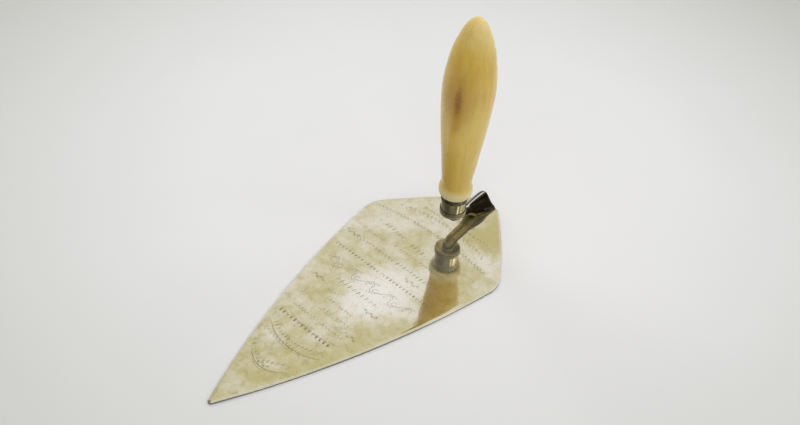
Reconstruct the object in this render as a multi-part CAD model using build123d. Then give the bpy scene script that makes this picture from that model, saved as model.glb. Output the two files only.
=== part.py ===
from build123d import *
import os

# Presentation pointing trowel: a flat kite-shaped silver blade, a low cast shank that runs
# forward from the blade's heel and turns straight up, a short ferrule and a turned handle.
# Millimetres. +Z up, tip towards -X, heel towards +X, symmetric about the XZ plane.
# Origin: foot of the handle's axis on the underside of the blade.

# blade
BLADE_T = 1.4                      # sheet thickness
TIP_X, TIP_R = -171.5, 1.5
CORNER_X, CORNER_Y = -14.5, 46.6   # where the long edge and the rear edge would meet
SHOULDER_R = 16.0
EDGE_SAG = 6.2                     # outward bow of each long edge
REAR_SAG = 1.6                     # outward bow of each rear edge
HEEL_X, HEEL_HALF, HEEL_R = 32.8, 7.9, 1.5
BEVEL_W, BEVEL_D = 1.2, 0.45

# shank: a ridged foot that fans out to the heel, low round bar, bend, short upright neck
FOOT = [                           # x, then half-width at the base, half-width and height of
    (32.2, 6.8, 6.5, 0.7, 4.6),    # the shoulder, height of the ridge (heights above the blade)
    (31.2, 6.75, 6.45, 0.85, 6.6),
    (30.2, 6.7, 6.4, 1.0, 8.6),
    (29.0, 6.5, 6.2, 1.2, 10.6),
    (27.8, 6.3, 6.0, 1.4, 11.6),
    (26.5, 5.9, 5.5, 2.2, 11.9),
    (25.1, 5.4, 5.0, 3.1, 12.0),
    (23.2, 4.6, 4.3, 4.2, 11.95),
    (21.3, 3.9, 3.6, 5.2, 11.8),
    (19.6, 3.4, 3.4, 5.6, 11.55),
    (18.0, 3.1, 3.3, 5.9, 11.25),
]
RIDGE_HALF, RIDGE_DROP = 1.5, 0.7  # half-width of the rounded ridge and its drop at that width
BAR_X, BAR_Z = 12.5, 8.4           # the foot has become a round bar here; height of its centre
BAR_D, NECK_D = 6.7, 6.1
BEND_Z, BEND_R = 10.8, 3.8         # where the bar's axis would meet the handle's; bend radius
NECK_Z = 14.0                      # the upright neck is a plain cylinder above this
FOOT_SOLDER = 0.6                  # leg of the solder fillet round the foot

# ferrule
FERRULE_Z0 = 14.7                  # underside of the bottom plate
PLATE_R, PLATE_T = 7.1, 0.9
TUBE_R, TUBE_WALL = 6.8, 0.6
FERRULE_TOP = 28.4
REED_R = 0.42                      # each ring is a strip of half-round reeds
REEDS_LOWER, REEDS_UPPER = 3, 5
NECK_SOLDER = 0.6

# tang and handle
TANG_D, TANG_TOP = 4.4, 96.0
SCREW_D, SCREW_L = 3.0, 3.0        # the tang's threaded end, screwed into the neck
TANG_NOTCHES = [50.0, 66.0, 82.0]  # keying grooves for the cement
BORE_D, BORE_TOP = 6.4, 98.0
TENON_R = TUBE_R - TUBE_WALL
TENON_Z0 = 17.6
BEAD = [(8.3, 28.4), (9.25, 31.7), (8.2, 35.3)]     # lower lip, widest, upper edge
NECK = (8.1, 37.2)
BODY = [(8.75, 44.0), (10.2, 57.2), (12.0, 73.0), (13.25, 89.5), (13.45, 98.0),
        (12.5, 107.6), (10.5, 118.2), (7.3, 127.2), (3.7, 133.4)]
TOP_Z = 136.0


def spin(lines):
    """Solid of revolution about Z from a closed (radius, height) profile."""
    return revolve(Plane.XZ * make_face(lines), Axis.Z)


def turned(*points):
    return spin(Polyline(*points, close=True))


def disc_ring(r_in, r_out, z0, z1):
    return turned((r_in, z0), (r_out, z0), (r_out, z1), (r_in, z1))


def blade_outline():
    tip, corner, heel = (TIP_X, 0), (CORNER_X, CORNER_Y), (HEEL_X, HEEL_HALF)
    corner2, heel2 = (CORNER_X, -CORNER_Y), (HEEL_X, -HEEL_HALF)
    lines = [SagittaArc(tip, corner, EDGE_SAG), SagittaArc(corner, heel, REAR_SAG),
             Line(heel, heel2),
             SagittaArc(heel2, corner2, REAR_SAG), SagittaArc(corner2, tip, EDGE_SAG)]
    outline = Sketch() + make_face(lines)
    for x, y, r in ((TIP_X, 0, TIP_R), (CORNER_X, CORNER_Y, SHOULDER_R),
                    (HEEL_X, HEEL_HALF, HEEL_R)):
        near = [v for v in outline.vertices() if abs(v.X - x) < 0.1 and abs(abs(v.Y) - y) < 0.1]
        outline = fillet(near, r)
    return outline


def blade():
    """Flat sheet with a shallow bevel round the top edge."""
    sheet = extrude(blade_outline(), BLADE_T)
    top = sheet.faces().sort_by(Axis.Z)[-1]
    return chamfer(top.edges(), BEVEL_W, BEVEL_D, reference=top)


def foot_section(x, base, shoulder, shoulder_z, ridge_z):
    """Section across the foot: upright walls, a shoulder and a sloping roof with a round ridge."""
    crown = (RIDGE_HALF, ridge_z - RIDGE_DROP)
    roof = ((shoulder + crown[0]) / 2, (shoulder_z + crown[1]) / 2)
    side = [(base, 0), (shoulder, shoulder_z), roof, crown]
    plane = Plane((x, 0, BLADE_T), x_dir=(0, 1, 0), z_dir=(1, 0, 0))
    curve = Spline(*side, (0, ridge_z), *[(-y, z) for y, z in reversed(side)])
    return plane * make_face([curve, Line(curve @ 1, curve @ 0)])


def bar_section():
    rise = (BEND_Z - BAR_Z) / BAR_X
    plane = Plane((BAR_X, 0, BAR_Z), x_dir=(0, 1, 0), z_dir=(1, 0, -rise))
    r = BAR_D / 2
    return plane * make_face([ThreePointArc((r, 0), (0, r), (-r, 0)),
                              ThreePointArc((-r, 0), (0, -r), (r, 0))])


def shank_body():
    foot = loft([foot_section(*f) for f in FOOT] + [bar_section()], ruled=True)
    path = Plane.XZ * FilletPolyline((BAR_X, BAR_Z), (0, BEND_Z), (0, NECK_Z), radius=BEND_R)
    ends = [Plane(path @ 0, z_dir=path % 0) * Circle(BAR_D / 2),
            Plane(path @ 1, z_dir=path % 1) * Circle(NECK_D / 2)]
    under = Pos(0, 0, BLADE_T) * Box(100, 100, 10, align=(Align.CENTER, Align.CENTER, Align.MAX))
    neck = Pos(0, 0, NECK_Z) * Cylinder(NECK_D / 2, FERRULE_Z0 - NECK_Z, align=(
        Align.CENTER, Align.CENTER, Align.MIN))
    return foot + sweep(ends, path=path, multisection=True) + neck - under


def shank():
    socket = Pos(0, 0, FERRULE_Z0) * Cylinder(SCREW_D / 2, SCREW_L, align=(
        Align.CENTER, Align.CENTER, Align.MAX))
    return shank_body() - socket


def foot_solder():
    """Silver-solder fillet along both flanks of the foot and across its front."""
    def outline(grow):
        flank = [(x, base + grow) for x, base, *_ in FOOT]
        flank[-1] = (flank[-1][0] - grow, flank[-1][1])
        return make_face(Polyline(*flank, *[(x, -y) for x, y in reversed(flank)], close=True))
    bead = loft([Pos(0, 0, BLADE_T) * outline(FOOT_SOLDER),
                 Pos(0, 0, BLADE_T + FOOT_SOLDER) * outline(0.05)], ruled=True)
    return bead - shank_body()


def neck_solder():
    """Solder fillet where the neck meets the underside of the ferrule."""
    r, z = NECK_D / 2, FERRULE_Z0
    return turned((r, z), (r + NECK_SOLDER, z), (r, z - NECK_SOLDER))


def ferrule_plate():
    plate = disc_ring(TANG_D / 2, PLATE_R, FERRULE_Z0, FERRULE_Z0 + PLATE_T)
    rim = [e for e in plate.edges() if e.geom_type == GeomType.CIRCLE and e.radius > TANG_D]
    return fillet(rim, 0.3)


def ferrule_tube():
    return disc_ring(TENON_R, TUBE_R, FERRULE_Z0 + PLATE_T, FERRULE_TOP)


def reeded_ring(z0, reeds):
    """Strip of half-round reeds wrapped round the ferrule, lower edge at z0."""
    ring = disc_ring(TUBE_R, TUBE_R + 0.12, z0, z0 + 2 * REED_R * reeds)
    for i in range(reeds):
        z = z0 + REED_R * (2 * i + 1)
        ring += Pos(0, 0, z) * Torus(TUBE_R + 0.05, REED_R)
    return ring - Cylinder(TUBE_R, 60, align=(Align.CENTER, Align.CENTER, Align.MIN))


def tang():
    r, screw_r, z0 = TANG_D / 2, SCREW_D / 2, FERRULE_Z0
    rod = turned((0, z0 - SCREW_L), (screw_r, z0 - SCREW_L), (screw_r, z0), (r, z0),
                 (r, TANG_TOP - 2), (r - 1.1, TANG_TOP), (0, TANG_TOP))
    for z in TANG_NOTCHES:
        rod -= turned((r - 0.5, z), (r + 1, z - 1.2), (r + 1, z + 1.2))
    return rod


def tang_cement():
    """Resin that fills the handle's bore round the tang."""
    r = BORE_D / 2
    return turned((0, TENON_Z0), (r, TENON_Z0), (r, BORE_TOP), (0, BORE_TOP)) - tang()


def ferrule_cement():
    return disc_ring(TANG_D / 2, TENON_R, FERRULE_Z0 + PLATE_T, TENON_Z0)


def handle():
    """Turned handle: tenon, bead, narrow neck, swelling body and ogival end."""
    lip, wide, upper = BEAD
    bore = BORE_D / 2
    lines = [
        Polyline((0, BORE_TOP), (bore, BORE_TOP), (bore, TENON_Z0), (TENON_R, TENON_Z0),
                 (TENON_R, FERRULE_TOP), lip),
        ThreePointArc(lip, wide, upper),
        Line(upper, NECK),
        Spline(NECK, *BODY, (0, TOP_Z), tangents=((0.02, 1), (-1, 0.35))),
        Line((0, TOP_Z), (0, BORE_TOP)),
    ]
    return spin(lines)


NODES = {
    "blade": blade,
    "shank": shank,
    "foot_solder": foot_solder,
    "neck_solder": neck_solder,
    "ferrule_plate": ferrule_plate,
    "ferrule_tube": ferrule_tube,
    "ferrule_ring_lower": lambda: reeded_ring(FERRULE_Z0 + PLATE_T, REEDS_LOWER),
    "ferrule_ring_upper": lambda: reeded_ring(FERRULE_TOP - 2 * REED_R * REEDS_UPPER, REEDS_UPPER),
    "ferrule_cement": ferrule_cement,
    "tang": tang,
    "tang_cement": tang_cement,
    "handle": handle,
}

os.makedirs("parts", exist_ok=True)
for name, make in NODES.items():
    export_step(make(), f"parts/{name}.step")
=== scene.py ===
"""Looks of the ivory-handled silver presentation trowel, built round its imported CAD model."""
import math
import random

import bpy
import numpy as np
from mathutils import Matrix, Vector
from mathutils.bvhtree import BVHTree


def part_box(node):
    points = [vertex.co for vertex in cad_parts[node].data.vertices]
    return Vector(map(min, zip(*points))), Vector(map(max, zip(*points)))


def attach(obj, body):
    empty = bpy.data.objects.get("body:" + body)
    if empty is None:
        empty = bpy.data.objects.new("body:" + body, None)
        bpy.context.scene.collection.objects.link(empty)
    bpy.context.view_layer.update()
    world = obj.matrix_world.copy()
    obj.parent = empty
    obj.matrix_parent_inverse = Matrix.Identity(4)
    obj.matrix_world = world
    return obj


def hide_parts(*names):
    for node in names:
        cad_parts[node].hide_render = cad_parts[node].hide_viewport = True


MM = 0.001
SEEDS = {"engraving": 7, "foot": 31, "neck": 12, "plate": 21, "tube": 5, "reeds_lower": 8, "reeds_upper": 9,
         "handle": 3}
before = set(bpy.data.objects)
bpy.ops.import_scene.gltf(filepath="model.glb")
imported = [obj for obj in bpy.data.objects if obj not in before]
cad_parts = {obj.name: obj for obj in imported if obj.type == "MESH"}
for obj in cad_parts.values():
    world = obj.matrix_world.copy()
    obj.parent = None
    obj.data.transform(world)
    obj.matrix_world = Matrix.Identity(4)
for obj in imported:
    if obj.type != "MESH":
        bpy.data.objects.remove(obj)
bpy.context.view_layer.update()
BLADE_LOW, BLADE_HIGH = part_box("blade")
BLADE_TOP = BLADE_HIGH.z
X_AXIS, Y_AXIS, Z_AXIS = Vector((1, 0, 0)), Vector((0, 1, 0)), Vector((0, 0, 1))


# ---------------------------------------------------------------- meshes from the frame

def cad_tree(node):
    """Ray-cast tree of a CAD node at rest."""
    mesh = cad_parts[node].data
    return BVHTree.FromPolygons([v.co for v in mesh.vertices], [p.vertices for p in mesh.polygons])


def outer_distance(tree, centre, way, reach):
    """Distance from centre to the node's outer surface in the direction way."""
    start = centre + way * reach
    hit = tree.ray_cast(start, -way, reach)[0]
    return (hit - centre).length if hit else 0.0


def make_piece(name, verts, faces, material, node=None, sharp=40):
    """A smooth mesh that rides on the root body and stands for a CAD node."""
    mesh = bpy.data.meshes.new(name)
    mesh.from_pydata([tuple(v) for v in verts], [], faces)
    mesh.validate()
    mesh.materials.append(material)
    mesh.shade_smooth()
    mesh.set_sharp_from_angle(angle=math.radians(sharp))
    piece = bpy.data.objects.new(name, mesh)
    bpy.context.scene.collection.objects.link(piece)
    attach(piece, "root")
    if node:
        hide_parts(node)
    return piece


def ring_faces(rings, size, close_rings=False):
    """Quads between neighbouring rings of size vertices each."""
    faces = []
    for i in range(rings if close_rings else rings - 1):
        a, b = i * size, (i + 1) % rings * size
        for j in range(size):
            k = (j + 1) % size
            faces.append((a + j, a + k, b + k, b + j))
    return faces


def cap_faces(first, size, centre, flip=False):
    """A fan that closes one ring onto a centre vertex."""
    fan = [(first + (j + 1) % size, first + j, centre) for j in range(size)]
    return [f[::-1] for f in fan] if flip else fan


def soft_noise(seed, waves=6, low=1, high=5):
    """A smooth random function of an angle and a height, about -1 to 1."""
    rng = random.Random(seed)
    parts = [(rng.randint(low, high), rng.uniform(-1, 1), rng.uniform(0, math.tau), rng.uniform(0.4, 1))
             for _ in range(waves)]
    total = sum(p[3] for p in parts)

    def value(angle, height):
        return sum(w * math.sin(n * angle + k * height + phase) for n, k, phase, w in parts) / total
    return value


def lathe(profile, segments, wobble=0.0, pitch=5 * MM, seed=0):
    """Vertices and faces of a closed turned solid. The profile runs from axis to axis, or is a loop."""
    noise = soft_noise(seed)
    on_axis = profile[0][0] == 0 and profile[-1][0] == 0
    rows = profile[1:-1] if on_axis else profile
    verts = []
    for r, z in rows:
        for j in range(segments):
            a = math.tau * j / segments
            here = r + wobble * noise(a, z / pitch)
            verts.append((here * math.cos(a), here * math.sin(a), z))
    faces = ring_faces(len(rows), segments, close_rings=not on_axis)
    if on_axis:
        verts += [(0, 0, profile[0][1]), (0, 0, profile[-1][1])]
        low, high = len(verts) - 2, len(verts) - 1
        faces += cap_faces(0, segments, low)
        faces += cap_faces((len(rows) - 1) * segments, segments, high, flip=True)
    return verts, faces


# ---------------------------------------------------------------- node materials

class Shader:
    """A short way to write one node material."""

    def __init__(self, name):
        self.material = bpy.data.materials.new(name)
        self.material.use_nodes = True
        self.tree = self.material.node_tree
        self.base = self.tree.nodes["Principled BSDF"]
        self.place = self.tree.nodes.new("ShaderNodeTexCoord").outputs["Object"]

    def node(self, kind, *inputs, **settings):
        made = self.tree.nodes.new("ShaderNode" + kind)
        for key, value in settings.items():
            setattr(made, key, value)
        for socket, value in zip(made.inputs, inputs):
            self.put(socket, value)
        return made

    def put(self, socket, value):
        if isinstance(value, bpy.types.NodeSocket):
            self.tree.links.new(value, socket)
        elif value is not None:
            socket.default_value = value

    def moved(self, scale=(1, 1, 1), turn=(0, 0, 0), shift=(0, 0, 0)):
        made = self.node("Mapping", self.place)
        made.inputs["Scale"].default_value = scale
        made.inputs["Rotation"].default_value = turn
        made.inputs["Location"].default_value = shift
        return made.outputs[0]

    def noise(self, scale, detail=4.0, rough=0.55, bend=0.0, at=None):
        made = self.node("TexNoise")
        self.put(made.inputs["Vector"], at or self.place)
        for key, value in (("Scale", scale), ("Detail", detail), ("Roughness", rough),
                           ("Distortion", bend)):
            made.inputs[key].default_value = value
        return made.outputs[0]

    def cells(self, scale, feature="F1", at=None):
        made = self.node("TexVoronoi", feature=feature)
        self.put(made.inputs["Vector"], at or self.place)
        made.inputs["Scale"].default_value = scale
        return made.outputs["Distance"]

    def ramp(self, value, low, high, start=0.0, end=1.0):
        made = self.node("MapRange", value, low, high, start, end, interpolation_type="SMOOTHSTEP")
        return made.outputs[0]

    def math(self, operation, a, b=0.0):
        return self.node("Math", a, b, operation=operation).outputs[0]

    def times(self, a, b):
        return self.math("MULTIPLY", a, b)

    def total(self, first, *rest):
        for part in rest:
            first = self.math("ADD", first, part)
        return first

    def mix(self, factor, a, b):
        made = self.node("MixRGB", factor)
        self.put(made.inputs[1], (*a, 1) if isinstance(a, tuple) else a)
        self.put(made.inputs[2], (*b, 1) if isinstance(b, tuple) else b)
        return made.outputs[0]

    def layers(self, color, *coats):
        """The colour with one coat after another mixed over it, as (amount, colour) pairs."""
        for amount, coat in coats:
            color = self.mix(amount, color, coat)
        return color

    def axis(self, name):
        return self.node("SeparateXYZ", self.place).outputs[name]

    def spot(self, centre, inner, outer, squeeze=(1, 1, 1)):
        """1 near a point, falling smoothly to 0 at the outer distance."""
        shift = [-c * s for c, s in zip(centre, squeeze)]
        far = self.node("VectorMath", self.moved(scale=squeeze, shift=shift), operation="LENGTH")
        return self.ramp(far.outputs["Value"], inner, outer, 1.0, 0.0)

    def bump(self, height, strength, depth, under=None):
        made = self.node("Bump")
        made.inputs["Strength"].default_value = strength
        made.inputs["Distance"].default_value = depth
        self.put(made.inputs["Height"], height)
        if under is not None:
            self.put(made.inputs["Normal"], under)
        return made.outputs[0]

    def finish(self, color, roughness, normal=None, **fixed):
        self.put(self.base.inputs["Base Color"], color)
        self.put(self.base.inputs["Roughness"], roughness)
        if normal is not None:
            self.put(self.base.inputs["Normal"], normal)
        for key, value in fixed.items():
            self.base.inputs[key.replace("_", " ")].default_value = value
        return self.material

    def scratches(self, angles, across, along, threshold):
        """Thin straight lines that run at several angles over a level surface."""
        lines = None
        for i, angle in enumerate(angles):
            turned = self.moved(turn=(0, 0, math.radians(angle)), shift=(0.37 * i, 0.19 * i, 0))
            stretch = self.node("Mapping", turned)
            stretch.inputs["Scale"].default_value = (across, along, 1)
            noise = self.noise(1.0, 0.0, 0.0, at=stretch.outputs[0])
            one = self.ramp(noise, threshold, threshold + 0.03)
            lines = one if lines is None else self.math("MAXIMUM", lines, one)
        return lines


# Base colours, linear RGB
# The last colour on the next line is the pale colour of a painted highlight spot.
PALE_SILVER, OLIVE_TARNISH, HIGHLIGHT_SILVER = (0.80, 0.755, 0.645), (0.565, 0.505, 0.235), (0.97, 0.95, 0.92)
GRIME, SPECK, DUST, SCRATCH = (0.40, 0.35, 0.22), (0.27, 0.24, 0.14), (0.42, 0.38, 0.24), (0.42, 0.38, 0.27)
# Painted highlight on the bevel, and painted shade on the blade's side wall.
BEVEL_HIGHLIGHT, WALL_SHADE = (0.78, 0.75, 0.62), (0.17, 0.155, 0.10)
OXIDE_DARK, OXIDE_LIGHT = (0.17, 0.145, 0.09), (0.36, 0.32, 0.21)
# Shank colours by facing: painted shade on the flanks, a dull top, a painted reflection on the far flank.
PAINTED_FLANK_SHADE, RIDGE_DULL, FAR_FLANK_REFLECTION = (0.020, 0.014, 0.008), (0.085, 0.078, 0.062), (0.36, 0.35, 0.27)
# Painted reflection of the blade under the shank, painted shade at its foot and painted reflected light on
# its belly.
UNDER_REFLECTION_OLIVE, BASE_SHADE, BELLY_REFLECTION = (0.30, 0.265, 0.135), (0.10, 0.088, 0.042), (0.66, 0.60, 0.34)
# The middle colour on the next line is a painted highlight along the shank's ridge.
STREAK, PAINTED_RIDGE_HIGHLIGHT, EDGE_TINT = (0.33, 0.30, 0.21), (0.88, 0.85, 0.78), (0.55, 0.52, 0.40, 1)
PLATE_SILVER, TUBE_SILVER, REED_SILVER = (0.66, 0.60, 0.43), (0.74, 0.70, 0.53), (0.66, 0.62, 0.46)
FERRULE_DARK, ROUND_LINE = (0.16, 0.145, 0.075), (0.30, 0.27, 0.17)
REED_GROOVE, UNDER_BEAD = (0.035, 0.03, 0.018), (0.05, 0.04, 0.02)
SOLDER_LIGHT, SOLDER_DARK = (0.20, 0.18, 0.105), (0.075, 0.066, 0.036)
IVORY, IVORY_CORE, IVORY_BLOTCH = (0.93, 0.675, 0.17), (0.74, 0.475, 0.060), (0.56, 0.345, 0.07)
# The last colour on the next line is a painted highlight near the handle's top.
IVORY_WAIST, IVORY_RIM, IVORY_HIGHLIGHT = (0.70, 0.46, 0.075), (0.98, 0.88, 0.50), (0.97, 0.84, 0.44)
STAIN_HALO, STAIN_CORE, CRACK = (0.52, 0.26, 0.03), (0.28, 0.095, 0.010), (0.44, 0.28, 0.09)
RESIN_LIGHT, RESIN_DARK = (0.16, 0.10, 0.06), (0.09, 0.05, 0.03)
STEEL, RUST = (0.30, 0.28, 0.26), (0.20, 0.09, 0.04)

SCRATCH_ANGLES = (8, 41, 78, 104, 139, 163)
REED_PITCH, LOWEST_REED = 0.84 * MM, 15.6 * MM
BEAD_SHADOW = 27.2 * MM, 28.2 * MM
STAIN_AT = (-12.9 * MM, -3.8 * MM, 95 * MM)


def blade_tarnish(s, cloud, small, fine, tipward, pale_highlight):
    """How tarnished each place is: random clouds, pushed up or down by region."""
    near_edge = s.ramp(s.axis("Y"), -44 * MM, 8 * MM, 1.0, 0.0)
    heelward = s.ramp(s.axis("X"), -4 * MM, 22 * MM, 0.0, 1.0)
    yellow_patch = s.spot((6 * MM, -17 * MM, BLADE_TOP), 2 * MM, 14 * MM)
    white_patch = s.spot((-4 * MM, -33 * MM, BLADE_TOP), 3 * MM, 15 * MM)
    amount = s.times(s.noise(30, 3.0, 0.55, 0.8), 1.1)
    # The painted highlight spot also lowers the tarnish where it lies.
    for part, share in ((near_edge, 0.18), (tipward, 0.16), (heelward, 0.20), (cloud, 0.70), (small, 0.50),
                        (fine, 0.12), (pale_highlight, -0.50), (yellow_patch, 0.16), (white_patch, -0.30)):
        amount = s.total(amount, s.times(part, share))
    return s.ramp(amount, 0.96, 1.62)


def blade_silver():
    """Worn mirror polish: warm silver with olive tarnish, a pale painted highlight spot, specks and
    scratches, a painted highlight on the bevel and painted shade on the side wall.
    """
    s = Shader("blade_silver")
    cloud = s.noise(80, 5.0, 0.62, 0.5)
    small = s.noise(260, 4.0, 0.6, 0.4)
    fine = s.noise(900, 4.0, 0.65)
    tipward = s.ramp(s.axis("X"), -130 * MM, -45 * MM, 1.0, 0.0)
    # Painted highlight: a pale spot where the reflected light shows whitish on the blade.
    pale_highlight = s.spot((-66 * MM, -7 * MM, BLADE_TOP), 3 * MM, 30 * MM, squeeze=(0.9, 1.3, 1))
    tarnish = blade_tarnish(s, cloud, small, fine, tipward, pale_highlight)
    grime = s.times(s.ramp(small, 0.52, 0.70), s.ramp(tipward, 0.1, 0.9, 0.12, 0.40))
    specks = s.times(s.ramp(s.cells(620), 0.08, 0.26, 1.0, 0.0), s.ramp(cloud, 0.42, 0.60))
    dust = s.ramp(s.noise(1500, 3.0, 0.7), 0.50, 0.72, 0.0, 0.22)
    lines = s.scratches(SCRATCH_ANGLES, 2200, 150, 0.74)
    # Painted highlight along the bevel; below it, painted shade on the side wall.
    bevel = s.ramp(s.axis("Z"), BLADE_TOP - 0.06 * MM, BLADE_TOP - 0.02 * MM, 1.0, 0.0)
    wall = s.ramp(s.axis("Z"), BLADE_TOP - 0.62 * MM, BLADE_TOP - 0.42 * MM, 1.0, 0.0)
    color = s.layers(
        s.mix(tarnish, PALE_SILVER, OLIVE_TARNISH), (s.times(pale_highlight, 0.6), HIGHLIGHT_SILVER), (grime, GRIME),
        (s.times(specks, 0.50), SPECK), (dust, DUST), (s.times(lines, 0.18), SCRATCH),
        (s.times(bevel, 0.5), BEVEL_HIGHLIGHT), (s.times(wall, 0.85), WALL_SHADE))
    matt_patch = s.spot((8 * MM, -24 * MM, BLADE_TOP), 4 * MM, 18 * MM)
    rough = s.total(s.ramp(tarnish, 0.0, 1.0, 0.035, 0.09), s.times(lines, 0.08),
                    s.ramp(fine, 0.35, 0.8, 0.0, 0.04), s.times(matt_patch, 0.16))
    ripple = s.bump(s.noise(30, 1.0, 0.4), 0.12, 0.4 * MM)
    grain = s.bump(s.total(fine, s.times(lines, -0.6)), 0.08, 0.02 * MM, ripple)
    return s.finish(color, rough, grain, Metallic=0.90)


def engraved_line():
    """Dark oxide held in the cut lines."""
    s = Shader("engraved_line")
    patch = s.noise(90, 3.0)
    color = s.mix(s.ramp(patch, 0.35, 0.7), OXIDE_DARK, OXIDE_LIGHT)
    rough = s.ramp(patch, 0.3, 0.8, 0.38, 0.6)
    return s.finish(color, rough, s.bump(s.noise(2500, 2.0), 0.2, 0.02 * MM), Metallic=0.6)


def cast_silver():
    """Shank: a painted highlight along the ridge, painted shade and reflections by facing (black upper
    flanks, grey far flank, olive below) and painted shade at the foot's base.
    """
    s = Shader("cast_silver")
    normal = s.node("SeparateXYZ", s.node("NewGeometry").outputs["Normal"])
    up, side = normal.outputs["Z"], normal.outputs["Y"]
    cloud = s.noise(160, 5.0, 0.6)
    streak = s.noise(1.0, 3.0, 0.5, at=s.moved(scale=(60, 900, 900)))
    # Painted highlight: a thin bright line on faces that point up and a little towards the near side.
    ridge = s.times(s.ramp(up, 0.87, 0.94), s.ramp(side, -0.24, -0.10, 1.0, 0.0))
    highlight_line = s.times(ridge, s.ramp(cloud, 0.25, 0.5, 0.75, 1.0))
    # Painted reflection: the far flank greyer, more so towards the neck.
    neckward = s.ramp(s.axis("X"), 18 * MM, 25 * MM, 1.0, 0.15)
    far_flank = s.times(s.ramp(side, -0.05, 0.35, 0.0, 0.8), neckward)
    # Painted reflection of the blade on faces that point down.
    underside = s.ramp(up, -0.30, 0.05, 1.0, 0.0)
    foot_base = s.ramp(s.axis("Z"), BLADE_TOP + 0.8 * MM, BLADE_TOP + 2.6 * MM, 0.8, 0.0)
    # Painted reflected light on the lower faces, weaker towards the heel.
    toe_shade = s.ramp(s.axis("X"), 11 * MM, 17 * MM, 1.0, 0.55)
    belly = s.times(s.ramp(up, -0.5, 0.05, 0.85, 0.0), toe_shade)
    # Painted shade and reflections by facing: black flanks, dull upward faces, then the coats below.
    color = s.layers(
        s.mix(s.ramp(up, 0.62, 0.97), PAINTED_FLANK_SHADE, RIDGE_DULL), (far_flank, FAR_FLANK_REFLECTION),
        (s.times(underside, 0.8), UNDER_REFLECTION_OLIVE), (foot_base, BASE_SHADE), (belly, BELLY_REFLECTION),
        (s.ramp(streak, 0.52, 0.72, 0.0, 0.30), STREAK), (highlight_line, PAINTED_RIDGE_HIGHLIGHT))
    rough = s.total(s.ramp(highlight_line, 0, 1, 0.34, 0.13), s.ramp(cloud, 0.3, 0.8, 0.0, 0.06))
    height = s.total(cloud, streak, s.times(s.ramp(s.cells(900), 0.05, 0.2), 0.4))
    return s.finish(color, rough, s.bump(height, 0.12, 0.05 * MM), Metallic=1.0, Specular_Tint=EDGE_TINT)


def ferrule_silver(name, tone, dark_share, haze=0.0, reeded=False):
    """Sheet silver with tarnish in patches, fine upright and round scratches and painted shade under the
    bead.
    """
    s = Shader(name)
    cloud = s.noise(150, 4.0, 0.55, 0.3)
    upright = s.noise(1.0, 2.0, 0.5, at=s.moved(scale=(1100, 1100, 35)))
    round_lines = s.noise(1.0, 2.0, 0.5, at=s.moved(scale=(30, 30, 2600)))
    dark = s.ramp(s.total(cloud, s.times(upright, 0.5)), 0.62, 0.95, 0.0, dark_share)
    color = s.layers(tone, (dark, FERRULE_DARK), (s.ramp(round_lines, 0.55, 0.75, 0.0, 0.25), ROUND_LINE))
    if reeded:
        turns = s.times(s.math("SUBTRACT", s.axis("Z"), LOWEST_REED), math.tau / REED_PITCH)
        color = s.mix(s.ramp(s.math("COSINE", turns), 0.0, 0.8), color, REED_GROOVE)
    # Painted shade in the gap under the handle's bead.
    color = s.mix(s.times(s.ramp(s.axis("Z"), *BEAD_SHADOW), 0.85), color, UNDER_BEAD)
    rough = s.ramp(cloud, 0.3, 0.8, 0.07 + haze, 0.18 + haze)
    height = s.total(s.times(upright, 0.7), s.times(round_lines, 0.5))
    return s.finish(color, rough, s.bump(height, 0.12, 0.03 * MM), Metallic=1.0)


def solder_metal():
    """Dull hard solder."""
    s = Shader("solder")
    cloud = s.noise(420, 5.0, 0.65)
    color = s.mix(s.ramp(cloud, 0.35, 0.7), SOLDER_LIGHT, SOLDER_DARK)
    rough = s.ramp(cloud, 0.3, 0.8, 0.3, 0.5)
    return s.finish(color, rough, s.bump(cloud, 0.4, 0.08 * MM), Metallic=0.95)


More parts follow.
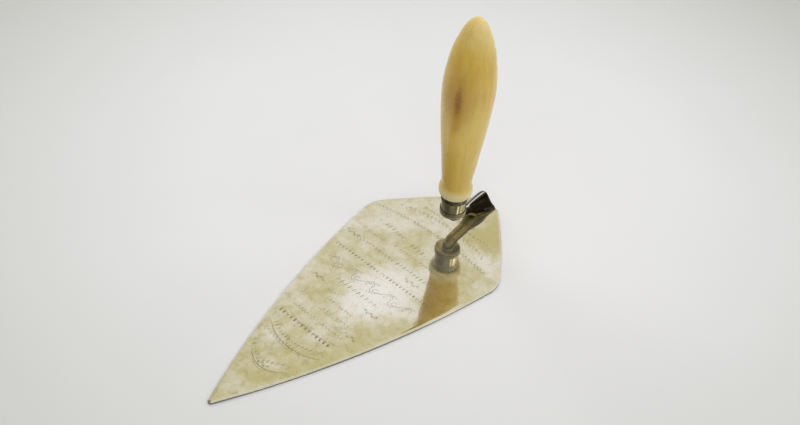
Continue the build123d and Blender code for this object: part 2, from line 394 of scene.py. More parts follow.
def ivory():
    """Polished yellowed ivory: long grain, darker core tone, hairline cracks, a brown stain and a painted
    highlight near the top.
    """
    s = Shader("ivory")
    broad = s.noise(1.0, 3.0, 0.5, 0.3, at=s.moved(scale=(45, 45, 16)))
    grain = s.noise(1.0, 4.0, 0.6, at=s.moved(scale=(520, 520, 14)))
    blotch = s.noise(95, 4.0, 0.6)
    tone = s.total(s.times(broad, 0.75), s.times(grain, 0.35))
    waist = s.ramp(s.axis("Z"), 34 * MM, 70 * MM, 0.40, 0.0)
    rim = s.ramp(s.axis("Z"), 31.0 * MM, 36.2 * MM, 0.90, 0.0)
    # Painted highlight: a pale spot near the top, on the side towards the heel and the near side.
    crown_highlight = s.spot((4 * MM, -5 * MM, 131 * MM), 2 * MM, 20 * MM)
    halo = s.spot(STAIN_AT, 1 * MM, 15 * MM, squeeze=(1, 1, 0.62))
    core = s.spot(STAIN_AT, 0.5 * MM, 4.6 * MM, squeeze=(1, 1.6, 0.36))
    grit = s.ramp(s.noise(700, 5.0, 0.7), 0.38, 0.62)
    cells = s.cells(1.0, "DISTANCE_TO_EDGE", s.moved(scale=(120, 120, 4)))
    cracks = s.times(s.ramp(cells, 0.0, 0.025, 1.0, 0.0), s.ramp(s.noise(60, 2.0), 0.5, 0.66))
    color = s.layers(
        s.mix(s.ramp(tone, 0.36, 0.74), IVORY, IVORY_CORE),
        (s.ramp(blotch, 0.55, 0.8, 0.0, 0.30), IVORY_BLOTCH), (waist, IVORY_WAIST), (rim, IVORY_RIM),
        (s.times(crown_highlight, 0.6), IVORY_HIGHLIGHT), (s.times(halo, 0.65), STAIN_HALO),
        (s.times(core, s.total(s.times(grit, 0.5), 0.45)), STAIN_CORE), (s.times(cracks, 0.32), CRACK))
    rough = s.total(s.ramp(blotch, 0.3, 0.8, 0.26, 0.40), s.times(core, 0.15))
    height = s.math("SUBTRACT", s.times(grain, 0.5), cracks)
    return s.finish(color, rough, s.bump(height, 0.12, 0.08 * MM), Metallic=0.0, IOR=1.52,
                    Subsurface_Weight=0.15, Subsurface_Scale=0.002, Subsurface_Radius=(1.0, 0.62, 0.28),
                    Coat_Weight=0.05, Coat_Roughness=0.15, Sheen_Weight=0.45, Sheen_Roughness=0.35,
                    Sheen_Tint=(1.0, 0.93, 0.62, 1))


def resin():
    """Brown cutler's resin."""
    s = Shader("resin")
    cloud = s.noise(350, 4.0)
    color = s.mix(s.ramp(cloud, 0.3, 0.7), RESIN_LIGHT, RESIN_DARK)
    return s.finish(color, s.ramp(cloud, 0.3, 0.8, 0.5, 0.75), s.bump(cloud, 0.3, 0.1 * MM))


def tang_steel():
    """Steel with patches of rust."""
    s = Shader("tang_steel")
    cloud = s.noise(260, 5.0, 0.65)
    color = s.mix(s.ramp(cloud, 0.4, 0.65), STEEL, RUST)
    return s.finish(color, s.ramp(cloud, 0.3, 0.8, 0.4, 0.8), s.bump(cloud, 0.5, 0.1 * MM),
                    Metallic=0.8)


# ---------------------------------------------------------------- blade

BEVEL_WIDTH, BEVEL_DROP = 1.2 * MM, 0.45 * MM
OUTLINE_STEP = 0.6 * MM


def blade_outline():
    """The blade's outline from its CAD underside, evenly spaced, with a smooth curve through its corners."""
    flat = {}
    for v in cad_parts["blade"].data.vertices:
        if v.co.z < 0.05 * MM:
            flat[(round(v.co.x, 6), round(v.co.y, 6))] = v.co
    middle = (BLADE_LOW + BLADE_HIGH) / 2
    ring = sorted(flat, key=lambda p: math.atan2(p[1] - middle.y, p[0] - middle.x))
    points = np.array(ring)
    before, after = np.roll(points, 1, 0), np.roll(points, -1, 0)
    after2 = np.roll(points, -2, 0)
    out = []
    for p0, p1, p2, p3 in zip(before, points, after, after2):
        gaps = [max(math.sqrt(np.linalg.norm(b - a)), 1e-5) for a, b in ((p0, p1), (p1, p2), (p2, p3))]
        t0, t1, t2, t3 = np.cumsum([0.0] + gaps)
        steps = max(1, round(np.linalg.norm(p2 - p1) / OUTLINE_STEP))
        for t in np.linspace(t1, t2, steps, endpoint=False):
            a1 = (t1 - t) / (t1 - t0) * p0 + (t - t0) / (t1 - t0) * p1
            a2 = (t2 - t) / (t2 - t1) * p1 + (t - t1) / (t2 - t1) * p2
            a3 = (t3 - t) / (t3 - t2) * p2 + (t - t2) / (t3 - t2) * p3
            b1 = (t2 - t) / (t2 - t0) * a1 + (t - t0) / (t2 - t0) * a2
            b2 = (t3 - t) / (t3 - t1) * a2 + (t - t1) / (t3 - t1) * a3
            out.append((t2 - t) / (t2 - t1) * b1 + (t - t1) / (t2 - t1) * b2)
    return np.clip(np.array(out), BLADE_LOW[:2], BLADE_HIGH[:2])


def blade_sheet(outline):
    """Flat sheet with softened lower edges and a shallow bevel, in rings that close onto the spine."""
    ahead = np.roll(outline, -1, 0) - np.roll(outline, 1, 0)
    inward = np.stack([-ahead[:, 1], ahead[:, 0]], 1)
    inward /= np.linalg.norm(inward, axis=1)[:, None]
    shoulder = BLADE_TOP - BEVEL_DROP
    edge = [(0.45 * MM, 0.0), (0.16 * MM, 0.02 * MM), (0.04 * MM, 0.09 * MM), (0.0, 0.25 * MM),
            (0.0, shoulder - 0.12 * MM), (0.02 * MM, shoulder - 0.03 * MM), (0.09 * MM, shoulder + 0.03 * MM),
            (BEVEL_WIDTH * 0.5, BLADE_TOP - BEVEL_DROP * 0.5), (BEVEL_WIDTH * 0.93, BLADE_TOP - 0.03 * MM),
            (BEVEL_WIDTH * 1.08, BLADE_TOP)]
    spine = np.stack([np.clip(outline[:, 0], BLADE_LOW.x + 12 * MM, BLADE_HIGH.x - 8 * MM),
                      np.zeros(len(outline))], 1)
    inner = outline + inward * edge[-1][0]
    under = outline + inward * edge[0][0]
    rings = [np.column_stack([under + (spine - under) * t, np.zeros(len(outline))])
             for t in (0.99, 0.8, 0.6, 0.4, 0.2, 0.08)]
    rings += [np.column_stack([outline + inward * o, np.full(len(outline), z)]) for o, z in edge]
    rings += [np.column_stack([inner + (spine - inner) * t, np.full(len(outline), BLADE_TOP)])
              for t in (0.03, 0.1, 0.2, 0.35, 0.5, 0.65, 0.8, 0.92, 0.99)]
    verts = np.concatenate(rings)
    size = len(outline)
    faces = ring_faces(len(rings), size)
    last = (len(rings) - 1) * size
    faces.append(tuple(range(last, last + size)))
    faces.append(tuple(range(size - 1, -1, -1)))
    return make_piece("blade_sheet", verts, faces, blade_silver(), "blade", sharp=12)


# ---------------------------------------------------------------- engraved ornament

# Each motif yields strokes as (points, width), in units of the row's height: along the row, then across it.

def sprig(rng):
    """Stem with a leaf on each side."""
    lean = rng.uniform(0.8, 1.1)
    yield [(0, 0), (0.5, 0.06), (1.0, 0)], 0.6
    yield [(0.1, 0.05), (0.3 * lean, 0.35), (0.55 * lean, 0.5)], 1.0
    yield [(0.5, -0.05), (0.7, -0.35), (0.95, -0.5)], 1.0


def darts(_rng):
    """A slanted stroke and a dot."""
    yield [(0.05, -0.45), (0.2, 0.0), (0.4, 0.5)], 1.2
    yield [(0.62, -0.08), (0.74, 0.08)], 1.1


def lozenge(_rng):
    """An open diamond with a dot on each side."""
    corners = [(0.1, 0), (0.4, 0.42), (0.7, 0), (0.4, -0.42)]
    for a, b in zip(corners, corners[1:] + corners[:1]):
        yield [a, ((a[0] + b[0]) / 2, (a[1] + b[1]) / 2), b], 0.9
    yield [(0.88, -0.06), (0.98, 0.06)], 1.2


def wave(_rng):
    """One turn of a running scroll."""
    turn = [(0.5 - 0.32 * (1 - k / 14) * math.cos(0.45 * k), 0.42 * (1 - k / 14) * math.sin(0.45 * k))
            for k in range(11)]
    yield turn, 1.0
    yield [(0.0, -0.42), (0.3, -0.5), (0.7, -0.46), (1.0, -0.42)], 0.7


def fan(_rng):
    """Three strokes that open upwards."""
    yield [(0.5, -0.5), (0.5, 0.0), (0.5, 0.5)], 1.1
    yield [(0.44, -0.45), (0.3, 0.0), (0.08, 0.3)], 0.9
    yield [(0.56, -0.45), (0.7, 0.0), (0.92, 0.3)], 0.9


def chevrons(_rng):
    """A zigzag."""
    yield [(0.0, -0.45), (0.25, 0.0), (0.5, 0.45)], 0.9
    yield [(0.52, 0.42), (0.75, 0.0), (1.0, -0.45)], 1.1


# (x, left end, right end, height, bow, slope, motif, stroke width), millimetres; left is towards +Y
ROWS = [
    (-5, 33, -28, 2.8, 5.5, 0.00, sprig, 0.34),
    (-14, 42, -38, 2.5, 4.5, 0.00, chevrons, 0.30),
    (-24.5, 27, -7, 2.8, 0.0, 0.13, darts, 0.40),
    (-22, 43, 30, 2.0, 0.0, 0.00, lozenge, 0.16),
    (-22, -12, -36, 2.2, 0.0, 0.00, sprig, 0.18),
    (-33, 41, 18, 2.2, 0.0, 0.04, lozenge, 0.18),
    (-32, 12, -33, 2.2, 0.0, 0.00, darts, 0.26),
    (3, 22, 8, 2.2, 1.0, 0.00, chevrons, 0.24),
    (4, -10, -24, 2.4, 1.0, 0.00, sprig, 0.26),
    (-41, 37, 4, 2.4, 0.0, 0.00, sprig, 0.30),
    (-41, 2, -24, 2.6, 0.0, 0.00, darts, 0.42),
    (-52.5, 36, -31, 2.4, 0.0, 0.00, fan, 0.28),
    (-71.5, 16, -13, 3.0, 0.0, 0.00, darts, 0.44),
    (-80, 14, 4, 2.2, 0.0, 0.00, sprig, 0.20),
    (-85, 8, -9, 2.3, 0.0, 0.00, lozenge, 0.24),
    (-92, 13, -13, 2.4, 0.0, 0.00, wave, 0.26),
    (-99.5, 16, -16, 2.3, 0.0, 0.00, chevrons, 0.26),
    (-107, 21, -15, 2.8, 0.0, 0.00, fan, 0.40),
    (-112, 20, -16, 2.2, -6.0, 0.00, darts, 0.30),
    (-121, 17, -9, 2.3, 0.0, 0.00, sprig, 0.28),
    (-129, 15, -9, 2.2, -6.0, 0.00, lozenge, 0.30),
]
# (x, left end, right end, reach, lean, stroke width): waving stems with curls, millimetres
VINES = [
    (-63.5, 31, -27, 4.0, 1.6, 0.26), (-46.5, -8, -18, 1.2, 0.3, 0.20), (-77.5, -9, -18, 1.1, 0.3, 0.22),
    (-77.5, 27, 19, 1.1, 0.3, 0.22), (-95.5, -13, -21, 1.1, 0.3, 0.22), (-41, 40, 30, 1.2, 0.3, 0.22),
    (-137, 5, -4, 1.1, 0.0, 0.22), (9, 8, -8, 1.3, 0.3, 0.20),
]
# (x, half width, sag, stroke width): long plain arcs that frame the ornament near the tip
ARCS = [(-104, 18, -3.0, 0.20), (-115, 19, -6.5, 0.34), (-116.2, 17, -6.5, 0.16), (-133, 12, -6.0, 0.30),
        (-134.2, 10.5, -6.0, 0.16)]
PROUD, SUNK = 0.012 * MM, 0.05 * MM      # how far a cut's sliver stands above and reaches below the flat
EDGE_MARGIN = 2.0 * MM
FOOT_FRONT, FOOT_HALF = 15.5 * MM, 8.5 * MM
STATIONS = 12                            # points along one cut
SKIPPED, LEAST_WEAR = 0.10, 0.45         # share of strokes worn away, and the thinnest that stay


def smooth_stroke(points, count):
    """Points along a Catmull-Rom curve through the given ones."""
    p = [np.array(q, float) for q in (points[0], *points, points[-1])]
    out = []
    for i in range(len(points) - 1):
        a, b, c, d = p[i:i + 4]
        for t in np.linspace(0, 1, count, endpoint=False):
            out.append(0.5 * (2 * b + (c - a) * t + (2 * a - 5 * b + 4 * c - d) * t ** 2
                              + (3 * b - a - 3 * c + d) * t ** 3))
    return out + [p[-1]]


def on_flat(p):
    """True where a point is on the flat of the blade, clear of its bevel and of the shank's foot."""
    edge = OUTLINE[OUTLINE[:, 1] > 0]
    edge = edge[np.argsort(edge[:, 0])]
    clear = abs(p[1]) < np.interp(p[0], edge[:, 0], edge[:, 1]) - EDGE_MARGIN
    return clear and not (p[0] > FOOT_FRONT and abs(p[1]) < FOOT_HALF)


def burin_cut(points, width, verts, faces):
    """One cut line as a slim closed sliver that swells in its middle and sits in the sheet."""
    line = smooth_stroke(points, STATIONS // max(1, len(points) - 1) + 1)
    if not all(on_flat(p) for p in line):
        return
    base = len(verts)
    for i, p in enumerate(line):
        ahead = line[min(i + 1, len(line) - 1)] - line[max(i - 1, 0)]
        side = np.array([-ahead[1], ahead[0]]) / (np.linalg.norm(ahead) + 1e-12)
        half = 0.5 * width * (0.12 + 0.88 * math.sin(math.pi * (i + 0.35) / (len(line) - 0.3)) ** 0.6)
        for offset, z in ((-half, PROUD * 0.4), (0, PROUD), (half, PROUD * 0.4), (0, -SUNK)):
            q = p + side * offset
            verts.append((q[0], q[1], BLADE_TOP + z))
    faces += [tuple(base + k for k in f) for f in ring_faces(len(line), 4)]
    last = base + 4 * (len(line) - 1)
    faces.append((base + 3, base + 2, base + 1, base))
    faces.append((last, last + 1, last + 2, last + 3))


def engrave_row(row, rng, verts, faces):
    """One row of a repeated motif, some of its strokes thinned or lost to wear."""
    x, left, right, height, bow, slope, motif, width = row
    middle, half = (left + right) / 2, (left - right) / 2
    count = round(2 * half / (height * 0.95))
    step = 2 * half / count
    for i in range(count):
        for points, weight in motif(rng):
            wear = rng.uniform(LEAST_WEAR, 1.0)
            if rng.random() < SKIPPED:
                continue
            placed = []
            for s, t in points:
                along = left - (i + s * 0.82) * step
                lift = bow * (1 - ((along - middle) / half) ** 2) + slope * (along - middle)
                placed.append(((x + lift + t * height) * MM, along * MM))
            burin_cut(placed, width * weight * wear * MM, verts, faces)


def engrave_vine(spec, rng, verts, faces):
    """A waving stem with a curl in each hollow and short leaves outside it."""
    x, left, right, reach, lean, width = spec
    count = max(2, round((left - right) / (reach * 1.7)))
    step = (left - right) / count
    for i in range(count):
        side = 1 if i % 2 == 0 else -1

        def place(s, t):
            return ((x + side * t * reach) * MM, (left - (i + s) * step - lean * side * t * reach * 0.4) * MM)
        stem = [place(*q) for q in ((-0.05, -0.1), (0.2, 0.5), (0.5, 0.72), (0.8, 0.5), (1.05, -0.1))]
        burin_cut(stem, width * rng.uniform(0.7, 1.0) * MM, verts, faces)
        curl = []
        for k in range(13):
            wide, high = 0.34 * (1 - k / 16), 0.5 * (1 - k / 16)
            curl.append(place(0.52 + wide * math.cos(0.5 * k), 0.02 + high * math.sin(0.5 * k)))
        burin_cut(curl, width * rng.uniform(0.6, 0.9) * MM, verts, faces)
        for s in (0.22, 0.50, 0.78):
            burin_cut([place(s, 0.74), place(s + 0.06, 0.92), place(s + 0.20, 1.05)],
                      width * rng.uniform(0.5, 0.85) * MM, verts, faces)


def engrave_arc(spec, verts, faces):
    """One long plain arc across the blade."""
    x, half, sag, width = spec
    points = [((x + sag * (1 - t * t)) * MM, (t * half) * MM) for t in np.linspace(-1, 1, 7)]
    burin_cut(points, width * MM, verts, faces)


def engraving():
    """All the ornament as one piece that rides on the blade."""
    rng = random.Random(SEEDS["engraving"])
    verts, faces = [], []
    for row in ROWS:
        engrave_row(row, rng, verts, faces)
    for spec in VINES:
        engrave_vine(spec, rng, verts, faces)
    for spec in ARCS:
        engrave_arc(spec, verts, faces)
    return make_piece("engraving", verts, faces, engraved_line(), sharp=60)


# ---------------------------------------------------------------- shank and solder

AROUND, RAY_REACH = 128, 12 * MM
BEND_RADIUS, BEND_CORNER = 3.8 * MM, 10.8 * MM
BAR_SLOPE = math.atan2(2.4, 12.5)
UPRIGHT_FROM, LEANING_FROM = 14 * MM, 8 * MM    # sections turn square to the bar between these two x


def section_ring(tree, centre, across, up):
    """One ring of points where the node's surface meets a plane through centre."""
    ring = []
    for j in range(AROUND):
        a = math.tau * j / AROUND
        way = across * math.cos(a) + up * math.sin(a)
        ring.append(centre + way * outer_distance(tree, centre, way, RAY_REACH))
    return ring


def section_middle(tree, x):
    """A point inside the casting at x, a little below the middle of its height."""
    reach = 60 * MM
    top = tree.ray_cast(Vector((x, 0, reach)), Vector((0, 0, -1)))[0].z
    bottom = tree.ray_cast(Vector((x, 0, -reach)), Vector((0, 0, 1)))[0].z
    return Vector((x, 0, bottom + 0.42 * (top - bottom)))


def shank_stations(tree, high):
    """(centre, across, up) of each section: along the foot and bar, round the bend, then up the neck."""
    turn = math.pi / 2 - BAR_SLOPE
    arc_z = BEND_CORNER + BEND_RADIUS * math.tan(turn / 2)
    bar_end = BEND_RADIUS * (1 - math.cos(turn)) + 0.8 * MM
    stations = []
    for x in np.linspace(high.x - 0.05 * MM, bar_end, 90):
        share = max(0.0, min(1.0, (UPRIGHT_FROM - x) / (UPRIGHT_FROM - LEANING_FROM)))
        up = (Z_AXIS + X_AXIS * math.sin(BAR_SLOPE) * share).normalized()
        stations.append((section_middle(tree, x), Y_AXIS, up))
    for a in np.linspace(turn, 0, 24):
        outward = Vector((-math.cos(a), 0, -math.sin(a)))
        stations.append((Vector((BEND_RADIUS, 0, arc_z)) + outward * BEND_RADIUS, Y_AXIS, -outward))
    heights = np.linspace(arc_z, high.z, 5)[1:] - 0.02 * MM
    return stations + [(Vector((0, 0, z)), Y_AXIS, X_AXIS) for z in heights]


def shank():
    """Foot, bar, bend and neck read off the CAD casting in close sections, with a rounded heel end."""
    tree = cad_tree("shank")
    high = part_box("shank")[1]
    stations = shank_stations(tree, high)
    heel_rings = (0.55, 0.0), (0.84, 0.03 * MM), (0.95, 0.14 * MM)    # (share of the section, set back)
    heel_round = 0.35 * MM
    verts = []
    for n, (centre, across, up) in enumerate(stations):
        ring = section_ring(tree, centre, across, up)
        if n == 0:
            for share, back in heel_rings:
                verts += [Vector((high.x - back, p.y * share, centre.z + (p.z - centre.z) * share))
                          for p in ring]
            ring = [p - X_AXIS * heel_round for p in ring]
        elif centre.x > high.x - heel_round - 0.05 * MM:
            continue
        verts += ring
    rings = len(verts) // AROUND
    faces = ring_faces(rings, AROUND)
    verts += [Vector((high.x, 0, stations[0][0].z)), stations[-1][0]]
    faces += cap_faces(0, AROUND, len(verts) - 2)
    faces += cap_faces((rings - 1) * AROUND, AROUND, len(verts) - 1, flip=True)
    return make_piece("shank_casting", verts, faces, cast_silver(), "shank", sharp=50)


def foot_path():
    """Where the foot's outline meets the blade: down one flank, across the front, up the other flank."""
    tree = cad_tree("shank")
    low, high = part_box("foot_solder")
    height, toe = BLADE_TOP + 0.25 * MM, low.x + 0.6 * MM
    flank = [(x, outer_distance(tree, Vector((x, 0, height)), Y_AXIS, 30 * MM))
             for x in np.linspace(toe, high.x - 0.1 * MM, 60)]
    toe_half = flank[0][1]
    front = [(toe, y) for y in np.linspace(-toe_half, toe_half, 18)[1:-1]]
    return np.array([(x, -y) for x, y in reversed(flank)] + front + flank)


def foot_fillet():
    """Run of hard solder along both flanks and the front of the foot, a little uneven."""
    path = foot_path()
    ahead = np.gradient(path, axis=0)
    outward = np.stack([-ahead[:, 1], ahead[:, 0]], 1) / np.linalg.norm(ahead, axis=1)[:, None]
    noise = soft_noise(SEEDS["foot"], 7, 2, 9)
    sunk, floor, brim = -0.35 * MM, -0.1 * MM, -0.02 * MM
    verts = []
    for i, (p, way) in enumerate(zip(path, outward)):
        taper = min(1, 0.25 + min(i, len(path) - 1 - i) / 8)
        leg = (0.47 + 0.12 * noise(0.07 * i, 0.3 * i)) * MM * taper
        profile = ((sunk, floor), (sunk, 0.95 * leg), (0.0, 0.75 * leg), (0.25 * leg, 0.30 * leg),
                   (0.60 * leg, 0.08 * leg), (leg, brim))
        verts += [(*(p + way * out), BLADE_TOP + up) for out, up in profile]
    size = len(profile)
    last = (len(path) - 1) * size
    faces = ring_faces(len(path), size)
    faces += [tuple(range(size - 1, -1, -1)), tuple(last + k for k in range(size))]
    faces = [f[::-1] for f in faces]
    return make_piece("foot_fillet", verts, faces, solder_metal(), "foot_solder")


def neck_fillet():
    """Ring of solder under the ferrule, in the plain material of its CAD node."""
    low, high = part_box("neck_solder")
    inner, neck, outer, height = 2.7 * MM, 3.05 * MM, high.x, high.z - low.z
    hollow = [(neck + (outer - neck) * t ** 2.2, low.z + height * t) for t in np.linspace(0.05, 1, 8)]
    profile = [(inner, high.z), (inner, low.z)] + hollow
    verts, faces = lathe(profile[::-1], 96, 0.02 * MM, 3 * MM, SEEDS["neck"])
    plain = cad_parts["neck_solder"].data.materials[0]
    return make_piece("neck_fillet", verts, faces, plain, "neck_solder")


# ---------------------------------------------------------------- ferrule

def rounded(profile, radius, steps=4):
    """The closed profile with each of its corners rounded."""
    out = []
    count = len(profile)
    for i, corner in enumerate(profile):
        p, a, b = (Vector(q) for q in (corner, profile[i - 1], profile[(i + 1) % count]))
        reach = min(radius, 0.45 * (a - p).length, 0.45 * (b - p).length)
        start, end = p + (a - p).normalized() * reach, p + (b - p).normalized() * reach
        for k in range(steps + 1):
            t = k / steps
            out.append(tuple(start * (1 - t) ** 2 + p * 2 * t * (1 - t) + end * t ** 2))
    return out


def ferrule_plate():
    """Disc under the ferrule, with a hole and softened edges."""
    low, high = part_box("ferrule_plate")
    hole, edge_round = 2.0 * MM, 0.35 * MM
    profile = rounded([(hole, low.z), (high.x, low.z), (high.x, high.z), (hole, high.z)], edge_round)
    verts, faces = lathe(profile, 160, 0.03 * MM, 4 * MM, SEEDS["plate"])
    material = ferrule_silver("ferrule_plate_silver", PLATE_SILVER, 0.5, haze=0.30)
    return make_piece("ferrule_base", verts, faces, material, "ferrule_plate")


def ferrule_tube():
    """Rolled sleeve with small dents and its soldered seam at the back."""
    low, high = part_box("ferrule_tube")
    outer, inner = high.x, high.x - 0.6 * MM
    steps = [low.z + (high.z - low.z) * k / 30 for k in range(31)]
    profile = [(inner, z) for z in steps[::-6]] + [(outer, z) for z in steps]
    verts, faces = lathe(profile, 240, 0.045 * MM, 2.2 * MM, SEEDS["tube"])
    seam, seam_width, seam_depth = math.radians(70), 0.02, 0.12 * MM
    pressed = []
    for x, y, z in verts:
        r, a = math.hypot(x, y), math.atan2(y, x)
        drop = seam_depth * math.exp(-((a - seam) / seam_width) ** 2) if r > inner + 0.2 * MM else 0
        pressed.append((x * (1 - drop / r), y * (1 - drop / r), z))
    material = ferrule_silver("ferrule_silver", TUBE_SILVER, 0.52)
    return make_piece("ferrule_sleeve", pressed, faces, material, "ferrule_tube")


def reeded_ring(node, name, seed, material):
    """Strip of half-round reeds with tight valleys, wrapped round the sleeve."""
    low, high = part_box(node)
    reeds = round((high.z - low.z) / REED_PITCH)
    pitch = (high.z - low.z) / reeds
    inner, valley, per_reed = high.x - 0.72 * MM, high.x - pitch / 2, 11
    profile = [(inner, high.z), (inner, low.z)]
    for i in range(reeds):
        for k in range(per_reed):
            a = math.pi * (k + 0.5) / per_reed
            profile.append((valley + pitch / 2 * math.sin(a), low.z + pitch * (i + 0.5 - 0.5 * math.cos(a))))
    verts, faces = lathe(profile, 200, 0.012 * MM, 1.8 * MM, seed)
    return make_piece(name, verts, faces, material, node)


# ---------------------------------------------------------------- handle

def handle_profile():
    """Radius and height up the handle, read off the CAD turning and lightly smoothed."""
    tree = cad_tree("handle")
    low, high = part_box("handle")
    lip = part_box("ferrule_tube")[1].z
    bead_top, tenon, thinnest = 38 * MM, 6.2 * MM, 0.25 * MM
    heights = list(np.linspace(lip + 0.02 * MM, bead_top, 46)) + list(np.linspace(bead_top, high.z, 200))[1:]
    radii = np.array([outer_distance(tree, Vector((0, 0, z)), X_AXIS, 40 * MM) for z in heights])
    for _ in range(2):
        radii[1:-1] = 0.25 * radii[:-2] + 0.5 * radii[1:-1] + 0.25 * radii[2:]
    shape = [(r, z) for r, z in zip(radii, heights) if r > thinnest]
    foot = shape[0][0]
    tenon_end = [(0, low.z), (tenon - 0.3 * MM, low.z), (tenon, low.z + 0.3 * MM), (tenon, lip)]
    return tenon_end + [(foot - 0.35 * MM, lip), (foot - 0.1 * MM, lip + 0.01 * MM)] + shape + [(0, high.z)]


def handle():
    """Turned ivory with faint tool flats, a soft lower lip and its tenon."""
    verts, faces = lathe(handle_profile(), 192, 0.05 * MM, 14 * MM, SEEDS["handle"])
    return make_piece("handle_turning", verts, faces, ivory(), "handle", sharp=50)


# ---------------------------------------------------------------- setting

CAMERA_AT, CAMERA_LENS = (-0.33415, -0.23818, 0.37356), 45.01
YAW, PITCH, ROLL = (math.radians(a) for a in (39.446, 41.571, 5.078))
# The last paper colour is painted shade, away from the object.
PAPER_LIGHT, PAPER_PALE, PAPER_FALLOFF_SHADE = (0.845, 0.845, 0.845), (0.860, 0.860, 0.858), (0.585, 0.585, 0.548)
FLOOR_SIZE, FLOOR_CELLS, FLOOR_Z = 8.0, 16, -0.02 * MM
# Regions of the studio dome: ((azimuth, elevation), outer angle, inner angle, factor outside, factor inside)
GLOW = (40, 50), 84, 16, 0.30, 0.90
SHADES = ((-50, 8), 42, 20, 1.0, 0.55), ((135, 38), 60, 22, 1.0, 0.25)
LAMPS = ((-62, 42), 8, 5, 1.0, 7.5), ((-95, 42), 6, 4, 1.0, 5.0), ((-36, 42), 20, 6, 1.0, 1.4)
# (name, place, aim, diameter, watts, colour)
LIGHTS = (
    ("overhead", (0.00, 0.02, 0.85), (0.0, 0.02, 0), 0.5, 2.17, (1, 0.998, 1.0)),
    ("back_left", (0.1, 1.2, 0.9), (0, 0, 0.03), 0.8, 3.0, (1, 1, 1)),
    ("front_fill", (-1.0, -0.9, 0.38), (0, 0, 0.08), 0.7, 2.75, (1, 0.99, 0.95)),
    ("back_right", (1.0, -0.35, 0.55), (0, 0, 0.08), 0.5, 1.2, (1, 1, 0.97)),
)


def make_camera():
    """The photo's viewpoint, fitted to the blade, ferrule, handle and their mirror images."""
    ahead = Vector((math.cos(PITCH) * math.cos(YAW), math.cos(PITCH) * math.sin(YAW), -math.sin(PITCH)))
    level = Vector((math.sin(YAW), -math.cos(YAW), 0))
    lift = level.cross(ahead)
    right = level * math.cos(ROLL) + lift * math.sin(ROLL)
    up = lift * math.cos(ROLL) - level * math.sin(ROLL)
    data = bpy.data.cameras.new("camera")
    data.lens, data.sensor_width = CAMERA_LENS, 36.0
    data.clip_start, data.clip_end = 0.01, 50
    camera = bpy.data.objects.new("camera", data)
    camera.matrix_world = Matrix((right, up, -ahead)).transposed().to_4x4()
    camera.location = CAMERA_AT
    bpy.context.scene.collection.objects.link(camera)
    bpy.context.scene.camera = camera


def floor_paper():
    """Pale matt paper, with painted shade that greys it away from the object."""
    s = Shader("floor_paper")
    cloud = s.noise(9, 3.0)
    # Painted shade: the light's falloff painted into the paper, greyer away from the object.
    near = s.spot((0.05, 0.05, 0), 0.10, 0.44)
    color = s.mix(near, PAPER_FALLOFF_SHADE, s.mix(s.ramp(cloud, 0.3, 0.7), PAPER_LIGHT, PAPER_PALE))
    return s.finish(color, s.ramp(cloud, 0.3, 0.7, 0.75, 0.85), s.bump(s.noise(1500, 3.0), 0.05, 0.1 * MM),
                    Specular_IOR_Level=0.2)


def make_floor():
    steps = np.linspace(-FLOOR_SIZE / 2, FLOOR_SIZE / 2, FLOOR_CELLS + 1)
    row = FLOOR_CELLS + 1
    corners = [j * row + i for j in range(FLOOR_CELLS) for i in range(FLOOR_CELLS)]
    mesh = bpy.data.meshes.new("floor")
    mesh.from_pydata([(x, y, FLOOR_Z) for y in steps for x in steps], [],
                     [(c, c + 1, c + row + 1, c + row) for c in corners])
    mesh.materials.append(floor_paper())
    floor = bpy.data.objects.new("floor", mesh)
    bpy.context.scene.collection.objects.link(floor)


def direction(azimuth, elevation):
    a, e = math.radians(azimuth), math.radians(elevation)
    return (math.cos(e) * math.cos(a), math.cos(e) * math.sin(a), math.sin(e))


def dome_region(tree, place, centre, outer, inner, outside, inside):
    """A smooth round region of the sky, by its angle from a direction."""
    near = tree.nodes.new("ShaderNodeVectorMath")
    near.operation = "DOT_PRODUCT"
    tree.links.new(place, near.inputs[0])
    near.inputs[1].default_value = direction(*centre)
    made = tree.nodes.new("ShaderNodeMapRange")
    made.interpolation_type = "SMOOTHSTEP"
    tree.links.new(near.outputs["Value"], made.inputs["Value"])
    low, high = math.cos(math.radians(outer)), math.cos(math.radians(inner))
    for key, value in (("From Min", low), ("From Max", high), ("To Min", outside), ("To Max", inside)):
        made.inputs[key].default_value = value
    return made.outputs[0]


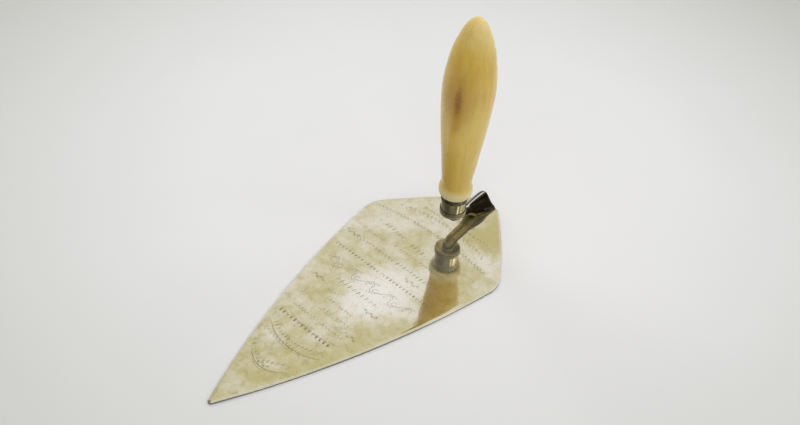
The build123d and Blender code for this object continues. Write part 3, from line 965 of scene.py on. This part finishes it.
def make_world():
    """Soft studio dome: bright beyond the object, dimmer to both sides of the camera, with small lamps."""
    world = bpy.data.worlds.new("studio")
    bpy.context.scene.world = world
    world.use_nodes = True
    tree = world.node_tree
    place = tree.nodes.new("ShaderNodeTexCoord").outputs["Generated"]
    strength = dome_region(tree, place, *GLOW)
    for spec in SHADES + LAMPS:
        product = tree.nodes.new("ShaderNodeMath")
        product.operation = "MULTIPLY"
        tree.links.new(strength, product.inputs[0])
        tree.links.new(dome_region(tree, place, *spec), product.inputs[1])
        strength = product.outputs[0]
    background = tree.nodes["Background"]
    background.inputs["Color"].default_value = (1.0, 0.995, 0.985, 1)
    tree.links.new(strength, background.inputs["Strength"])


def area_light(name, at, towards, size, power, color):
    """A round soft light that shows in no reflection."""
    data = bpy.data.lights.new(name, "AREA")
    data.shape, data.size, data.energy, data.color = "DISK", size, power, color
    light = bpy.data.objects.new(name, data)
    light.location = at
    light.rotation_mode = "QUATERNION"
    light.rotation_quaternion = (Vector(towards) - Vector(at)).to_track_quat("-Z", "Y")
    light.visible_glossy = False
    bpy.context.scene.collection.objects.link(light)


def hidden_pieces():
    """The cement and the tang keep their CAD meshes and get their own materials."""
    brown = resin()
    for node, material, slot in (("ferrule_cement", brown, "resin"), ("tang", tang_steel(), "tang_steel"),
                                 ("tang_cement", brown, "resin")):
        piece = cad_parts[node]
        piece.data.materials.clear()
        piece.data.materials.append(material)


make_camera()
make_world()
for light_spec in LIGHTS:
    area_light(*light_spec)
make_floor()
OUTLINE = blade_outline()
blade_sheet(OUTLINE)
engraving()
shank()
foot_fillet()
neck_fillet()
ferrule_plate()
ferrule_tube()
reed_metal = ferrule_silver("reed_silver", REED_SILVER, 0.6, reeded=True)
reeded_ring("ferrule_ring_lower", "ferrule_reeds_lower", SEEDS["reeds_lower"], reed_metal)
reeded_ring("ferrule_ring_upper", "ferrule_reeds_upper", SEEDS["reeds_upper"], reed_metal)
handle()
hidden_pieces()
bpy.context.scene.view_settings.view_transform = "Standard"
